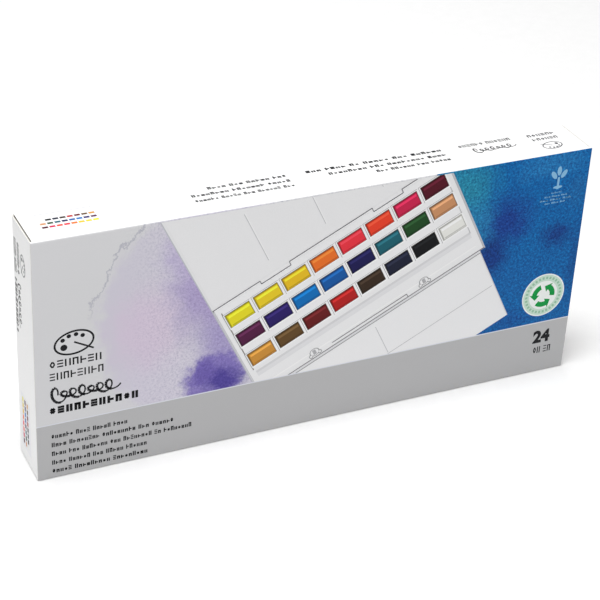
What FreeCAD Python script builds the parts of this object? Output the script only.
"""Watercolour pan set: a white plastic case of 24 whole pans in its tuck-end paperboard carton.

Millimetres. +Z is up, the carton stands on its long narrow side, its printed front faces -Y,
and the origin is the middle of the face that it stands on.
"""
import FreeCAD, Part
import math
import os
from FreeCAD import Vector

# Carton, outside
LENGTH = 264.0
DEPTH = 27.0
HEIGHT = 118.0
BOARD = 0.6
FLAP_SETBACK = 1.1
CLOSURE_SIDE_GAP = 0.4
TUCK_GAP = 0.4
TUCK_SIDE_GAP = 0.8
TUCK_SHOULDER = 3.0
TUCK_OVERRUN = 1.0
TUCK_SLOPE = 0.6
TUCK_LENGTH = 9.0
TUCK_LEAN_DEG = 9.0
DUST_LENGTH = 20.0
DUST_FRONT_GAP = 1.6
DUST_BACK_GAP = 3.4
DUST_TAPER = 1.6
DUST_CHAMFER = 2.0
GLUE_FLAP = 12.0
GLUE_END_GAP = 2.8

# Case, outside
CASE_LENGTH = 258.0
CASE_HEIGHT = 112.6
CASE_FRONT_Y = -12.2
CASE_BACK_Y = 10.2
PARTING_Y = -4.0
PARTING_GAP = 0.1
CASE_BOTTOM_Z = 0.9
WALL = 1.5
CORNER_R = 5.0
GROOVE_INSET = 4.5
GROOVE_WIDTH = 1.0
GROOVE_DEPTH = 0.35
NOTCH_WIDTH = 26.0
NOTCH_DEPTH = 0.9
CASE_TOP_Z = CASE_BOTTOM_Z + CASE_HEIGHT
DIVIDER_TOP_DROP = 1.4
DIVIDER_BOTTOM_DROP = 3.0
DIVIDER_RACK_GAP = 0.5
STOP_WIDTH = 2.0
STOP_TOP_DROP = 12.0

# Lid hinge
BARREL_R = 2.0
BARREL_CLEAR = 0.2
PIN_R = 0.8
PIN_CLEAR = 0.05
HINGE_SEGMENTS = 5
HINGE_LENGTH = 220.0
SEGMENT_GAP = 0.2

# Pans: whole pans, three rows of eight
PAN_LONG = 30.0
PAN_SHORT = 19.5
PAN_DEEP = 10.0
PAN_WALL = 0.9
PAN_PITCH_X = 31.0
PAN_PITCH_Z = 26.5
PAN_BOTTOM_Y = 8.6
PAN_FIT = 0.15
PAN_OUTER_R = 1.2
PAN_INNER_R = 0.9
CAKE_SLACK = 0.02
CAKE_DROP = 1.2
ROW_TOP_Z = 97.1
RACK_FRONT_Y = -0.4
RACK_PLATE = 1.2
RAIL_OVERRUN = 16.5
RAIL_LIP = 1.6
RAIL_DEEP = 4.0
RACK_SIDE_GAP = 0.2
RACK_BOTTOM_DROP = 2.0
RACK_TOP_DROP = 3.6

# Folding palette and lid wells
PALETTE_HEIGHT = 94.0
PALETTE_PLATE = 1.4
PALETTE_BACK_Y = -2.2
PALETTE_RIM = 2.2
PALETTE_GAP = 0.6
PALETTE_CELLS = 4
WELL_SPLIT = 34.0
WELL_R = 2.0
RIB = 1.4
LID_RIB_HIGH = 2.0
LID_CROSS_DROP = 40.0
MERGE = 0.1
CLIP_X = (-70.0, 62.0)
CLIP_WIDTH = 9.0
CLIP_GAP = 0.2
CLIP_LIFT = 0.1
CLIP_THICK = 2.2
CLIP_FRONT = 3.2
CLIP_BACK = 4.0
CLIP_EYE_R = 0.8

ROWS = {
    "top": ["lemon_yellow", "mid_yellow", "deep_yellow", "orange",
            "bright_red", "warm_red", "crimson", "maroon"],
    "middle": ["mauve", "violet", "sky_blue", "mid_blue",
               "navy_blue", "blue_green", "dark_green", "light_earth"],
    "bottom": ["yellow_ochre", "raw_umber", "red_brown", "earth_red",
               "sepia", "indigo", "lamp_black", "white"],
}


def box(low, high):
    """A box between two corners."""
    size = [high[i] - low[i] for i in range(3)]
    return Part.makeBox(size[0], size[1], size[2], Vector(*low))


def save(shape, node):
    """Writes one sub-part."""
    shape.exportStep(f"parts/{node}.step")


def case_block(front_y, back_y, inset=0.0):
    """The case's outline, or that outline drawn in, as a block with rounded corners."""
    half = CASE_LENGTH / 2 - inset
    block = box((-half, front_y, CASE_BOTTOM_Z + inset), (half, back_y, CASE_TOP_Z - inset))
    upright = [e for e in block.Edges if abs(e.BoundBox.YLength - (back_y - front_y)) < 1e-6]
    return block.makeFillet(CORNER_R - min(inset, CORNER_R - 1.0), upright)


def panel(y_low, y_high, z_low, z_high):
    """A long carton panel between the two ends' flap creases."""
    half = LENGTH / 2 - FLAP_SETBACK
    return box((-half, y_low, z_low), (half, y_high, z_high))


def front_panel():
    half = LENGTH / 2
    return box((-half, -DEPTH / 2, 0), (half, -DEPTH / 2 + BOARD, HEIGHT))


def back_panel():
    return panel(DEPTH / 2 - BOARD, DEPTH / 2, 0, HEIGHT)


def top_panel():
    return panel(-DEPTH / 2 + BOARD, DEPTH / 2 - BOARD, HEIGHT - BOARD, HEIGHT)


def bottom_panel():
    return panel(-DEPTH / 2 + BOARD, DEPTH / 2 - BOARD, 0, BOARD)


def glue_flap():
    """The blank's joining flap, glued inside the back panel above the bottom panel."""
    half = LENGTH / 2 - TUCK_LENGTH - GLUE_END_GAP
    inner = DEPTH / 2 - BOARD
    return box((-half, inner - BOARD, BOARD), (half, inner, BOARD + GLUE_FLAP))


def closure(side):
    """An end panel, hinged on the front vertical edge. side is -1 at the left end."""
    outer = side * LENGTH / 2
    inner = outer - side * BOARD
    y_low = -DEPTH / 2 + BOARD
    y_high = DEPTH / 2 - BOARD - TUCK_GAP
    return box((min(outer, inner), y_low, CLOSURE_SIDE_GAP),
               (max(outer, inner), y_high, HEIGHT - CLOSURE_SIDE_GAP))


def tuck_tab(side):
    """The tongue on the closure's free edge, which leans off the back panel so that it clears it."""
    outer = side * LENGTH / 2
    y_high = DEPTH / 2 - BOARD - TUCK_GAP
    root = Vector(outer - side * BOARD, y_high, 0)
    lean = math.radians(TUCK_LEAN_DEG)
    inward = Vector(-side * math.cos(lean), -math.sin(lean), 0)
    across = Vector(0, -BOARD, 0)
    tip = root + inward * TUCK_LENGTH
    low = TUCK_SIDE_GAP
    high = HEIGHT - TUCK_SIDE_GAP
    corners = [root, tip, tip + across, root + across]
    sheet = Part.Face(Part.makePolygon(corners + corners[:1])).extrude(Vector(0, 0, high - low))
    sheet.translate(Vector(0, 0, low))
    for z_corner, step in ((low, 1), (high, -1)):
        x_tip = tip.x - side * TUCK_OVERRUN
        x_root = tip.x + side * (TUCK_LENGTH + TUCK_OVERRUN) * TUCK_SLOPE
        points = [Vector(x_tip, -DEPTH, z_corner - step),
                  Vector(x_tip, -DEPTH, z_corner + step * TUCK_SHOULDER),
                  Vector(x_root, -DEPTH, z_corner - step)]
        wedge = Part.Face(Part.makePolygon(points + points[:1])).extrude(Vector(0, 3 * DEPTH, 0))
        sheet = sheet.cut(wedge)
    return sheet


def dust_flap(side, at_top):
    """A short flap on the end of the top or bottom panel, tapered at its front edge."""
    outer = side * (LENGTH / 2 - FLAP_SETBACK)
    y_low = -DEPTH / 2 + DUST_FRONT_GAP
    y_high = DEPTH / 2 - DUST_BACK_GAP
    outline = [(y_low, BOARD), (y_low + DUST_LENGTH / DUST_TAPER, BOARD + DUST_LENGTH),
               (y_high - DUST_CHAMFER, BOARD + DUST_LENGTH),
               (y_high, BOARD + DUST_LENGTH - DUST_CHAMFER), (y_high, BOARD)]
    points = [Vector(outer, y, HEIGHT - z if at_top else z) for y, z in outline]
    return Part.Face(Part.makePolygon(points + points[:1])).extrude(Vector(-side * BOARD, 0, 0))


def hinge_axis():
    return PARTING_Y, CASE_TOP_Z - BARREL_R


def segment(index, radius, gap=0.0):
    """One length of the hinge barrel, with its own end gap."""
    y, z = hinge_axis()
    step = HINGE_LENGTH / HINGE_SEGMENTS
    start = -HINGE_LENGTH / 2 + index * step + gap
    return Part.makeCylinder(radius, step - 2 * gap, Vector(start, y, z), Vector(1, 0, 0))


def with_hinge(shell, parity):
    """Adds every second knuckle to a shell, cuts room for the others, and bores the pin's hole."""
    y, z = hinge_axis()
    for index in range(HINGE_SEGMENTS):
        if index % 2 == parity:
            shell = shell.fuse(segment(index, BARREL_R, SEGMENT_GAP))
        else:
            shell = shell.cut(segment(index, BARREL_R + BARREL_CLEAR, -SEGMENT_GAP))
    start = Vector(-CASE_LENGTH / 2, y, z)
    bore = Part.makeCylinder(PIN_R + PIN_CLEAR, CASE_LENGTH, start, Vector(1, 0, 0))
    reach = HINGE_LENGTH / 2 + 1
    stay = box((-reach, PARTING_Y - 5, z - 5), (reach, PARTING_Y + 5, z + 5))
    return shell.cut(bore.common(stay)).removeSplitter()


def hinge_pin():
    y, z = hinge_axis()
    length = HINGE_LENGTH - 2
    return Part.makeCylinder(PIN_R, length, Vector(-length / 2, y, z), Vector(1, 0, 0))


def rack_zone():
    """Lowest and highest z of the pans' part of the base."""
    low = ROW_TOP_Z - 2 * PAN_PITCH_Z - PAN_PITCH_Z / 2
    return low, CASE_TOP_Z - WALL


def thumb_notch():
    """A shallow scoop across the parting line in the middle of the lower edge, to open the lid by."""
    radius = (NOTCH_WIDTH ** 2 / 4 + NOTCH_DEPTH ** 2) / (2 * NOTCH_DEPTH)
    start = Vector(0, PARTING_Y - 4.0, CASE_BOTTOM_Z + NOTCH_DEPTH - radius)
    return Part.makeCylinder(radius, 8.0, start, Vector(0, 1, 0))


def case_base():
    """The deep tray that holds the pans, with a wall that parts off the brush trough."""
    front = PARTING_Y + PARTING_GAP
    shell = case_block(front, CASE_BACK_Y)
    shell = shell.cut(case_block(front - 1, CASE_BACK_Y - WALL, WALL))
    low, _ = rack_zone()
    half = CASE_LENGTH / 2 - WALL
    divider = box((-half, RACK_FRONT_Y + RACK_PLATE + DIVIDER_RACK_GAP, low - DIVIDER_BOTTOM_DROP),
                  (half, CASE_BACK_Y - WALL, low - DIVIDER_TOP_DROP))
    shell = shell.fuse(divider)
    for x_stop in (-half, half - STOP_WIDTH):
        stop = box((x_stop, RACK_FRONT_Y + RACK_PLATE, low),
                   (x_stop + STOP_WIDTH, CASE_BACK_Y - WALL, CASE_TOP_Z - STOP_TOP_DROP))
        shell = shell.fuse(stop)
    return with_hinge(shell.cut(thumb_notch()), 0)


def case_lid():
    """The shallow lid, with low ribs that part its inside into mixing wells."""
    back = PARTING_Y - PARTING_GAP
    shell = case_block(CASE_FRONT_Y, back)
    shell = shell.cut(case_block(CASE_FRONT_Y + WALL, back + 1, WALL))
    floor = CASE_FRONT_Y + WALL
    half = CASE_LENGTH / 2 - WALL
    low = CASE_BOTTOM_Z + WALL
    cross = CASE_TOP_Z - LID_CROSS_DROP
    for x_rib in (-half / 2, 0.0, half / 2):
        rib = box((x_rib - RIB / 2, floor - MERGE, low), (x_rib + RIB / 2, floor + LID_RIB_HIGH, cross))
        shell = shell.fuse(rib)
    shell = shell.fuse(box((-half, floor - MERGE, cross - RIB), (half, floor + LID_RIB_HIGH, cross)))
    groove_back = CASE_FRONT_Y + GROOVE_DEPTH
    groove = case_block(CASE_FRONT_Y - 1, groove_back, GROOVE_INSET)
    groove = groove.cut(case_block(CASE_FRONT_Y - 2, groove_back + 1, GROOVE_INSET + GROOVE_WIDTH))
    return with_hinge(shell.cut(groove).cut(thumb_notch()), 1)


def pan_centres(row):
    """Centres of a row's eight pans, as x and z."""
    z = ROW_TOP_Z - ["top", "middle", "bottom"].index(row) * PAN_PITCH_Z
    return [((i - 3.5) * PAN_PITCH_X, z) for i in range(8)]


def pan_block(centre, long, short, front_y, back_y, radius):
    x, z = centre
    block = box((x - long / 2, front_y, z - short / 2), (x + long / 2, back_y, z + short / 2))
    return block.makeFillet(radius, [e for e in block.Edges if e.BoundBox.YLength > 0.5])


def pan(centre):
    """One whole pan: a small open tub."""
    rim = PAN_BOTTOM_Y - PAN_DEEP
    long = PAN_LONG - 2 * PAN_WALL
    short = PAN_SHORT - 2 * PAN_WALL
    outside = pan_block(centre, PAN_LONG, PAN_SHORT, rim, PAN_BOTTOM_Y, PAN_OUTER_R)
    inside = pan_block(centre, long, short, rim - 1, PAN_BOTTOM_Y - PAN_WALL, PAN_INNER_R)
    return outside.cut(inside)


def cake(centre):
    """The block of dry paint in a pan, a little below its rim."""
    long = PAN_LONG - 2 * PAN_WALL - CAKE_SLACK
    short = PAN_SHORT - 2 * PAN_WALL - CAKE_SLACK
    rim = PAN_BOTTOM_Y - PAN_DEEP
    back = PAN_BOTTOM_Y - PAN_WALL - CAKE_SLACK
    return pan_block(centre, long, short, rim + CAKE_DROP, back, PAN_INNER_R)


def pan_rack():
    """The moulded insert whose 24 openings hold the pans in three rows."""
    low, high = rack_zone()
    half = CASE_LENGTH / 2 - WALL - RACK_SIDE_GAP
    plate = box((-half, RACK_FRONT_Y, low - RACK_BOTTOM_DROP),
                (half, RACK_FRONT_Y + RACK_PLATE, high - RACK_TOP_DROP))
    reach = PAN_SHORT / 2 + RAIL_LIP
    for row in ROWS:
        centres = pan_centres(row)
        z = centres[0][1]
        rail = box((centres[0][0] - RAIL_OVERRUN, RACK_FRONT_Y, z - reach),
                   (centres[-1][0] + RAIL_OVERRUN, RACK_FRONT_Y + RAIL_DEEP, z + reach))
        plate = plate.fuse(rail)
        for centre in centres:
            hole = pan_block(centre, PAN_LONG + 2 * PAN_FIT, PAN_SHORT + 2 * PAN_FIT,
                             RACK_FRONT_Y - 1, RACK_FRONT_Y + RAIL_DEEP + 2, PAN_OUTER_R)
            plate = plate.cut(hole)
    return plate.removeSplitter()


def palette():
    """The second mixing palette, which folds down over the pans under the lid."""
    half = CASE_LENGTH / 2 - WALL - PALETTE_GAP
    low = CASE_BOTTOM_Z + WALL + PALETTE_GAP
    high = low + PALETTE_HEIGHT
    front = PALETTE_BACK_Y - PALETTE_PLATE
    leaf = box((-half, front - PALETTE_RIM, low), (half, PALETTE_BACK_Y, high))
    upright = [e for e in leaf.Edges if abs(e.BoundBox.YLength - PALETTE_PLATE - PALETTE_RIM) < 1e-6]
    leaf = leaf.makeFillet(CORNER_R - WALL, upright)
    width = (2 * half - (PALETTE_CELLS + 1) * RIB) / PALETTE_CELLS
    split = low + WELL_SPLIT
    for z_low, z_high in ((low + RIB, split), (split + RIB, high - RIB)):
        for i in range(PALETTE_CELLS):
            x = -half + RIB + i * (width + RIB)
            well = box((x, front - PALETTE_RIM - 1, z_low), (x + width, front, z_high))
            corners = [e for e in well.Edges if e.BoundBox.YLength > 1]
            leaf = leaf.cut(well.makeFillet(WELL_R, corners))
    reach = CLIP_WIDTH / 2 + CLIP_GAP
    for x in CLIP_X:
        slot = box((x - reach, front - PALETTE_RIM - 1, low - 1),
                   (x + reach, PALETTE_BACK_Y + 1, low + RIB + 1))
        leaf = leaf.cut(slot)
    return leaf


def palette_clips():
    """Two hooks that pivot the palette on the base's lower front edge."""
    low = CASE_BOTTOM_Z + WALL + CLIP_LIFT
    clips = []
    for x in CLIP_X:
        arm = box((x - CLIP_WIDTH / 2, PALETTE_BACK_Y - CLIP_FRONT, low),
                  (x + CLIP_WIDTH / 2, PALETTE_BACK_Y + CLIP_BACK, low + CLIP_THICK))
        start = Vector(x - CLIP_WIDTH / 2 - 1, PALETTE_BACK_Y - 1, low + CLIP_THICK / 2)
        clips.append(arm.cut(Part.makeCylinder(CLIP_EYE_R, CLIP_WIDTH + 2, start, Vector(1, 0, 0))))
    return Part.makeCompound(clips)


def main():
    os.makedirs("parts", exist_ok=True)
    save(front_panel(), "front_panel")
    save(back_panel(), "back_panel")
    save(top_panel(), "top_panel")
    save(bottom_panel(), "bottom_panel")
    save(glue_flap(), "glue_flap")
    for name, side in (("left", -1), ("right", 1)):
        save(closure(side), f"{name}_closure")
        save(tuck_tab(side), f"{name}_tuck_tab")
        save(dust_flap(side, True), f"{name}_dust_flap_top")
        save(dust_flap(side, False), f"{name}_dust_flap_bottom")
    save(case_base(), "case_base")
    save(case_lid(), "case_lid")
    save(hinge_pin(), "lid_hinge_pin")
    save(pan_rack(), "pan_rack")
    save(palette(), "folding_palette")
    save(palette_clips(), "palette_clips")
    for row, colours in ROWS.items():
        centres = pan_centres(row)
        save(Part.makeCompound([pan(c) for c in centres]), f"pans_{row}_row")
        for colour, centre in zip(colours, centres):
            save(cake(centre), f"paint_{colour}")


main()
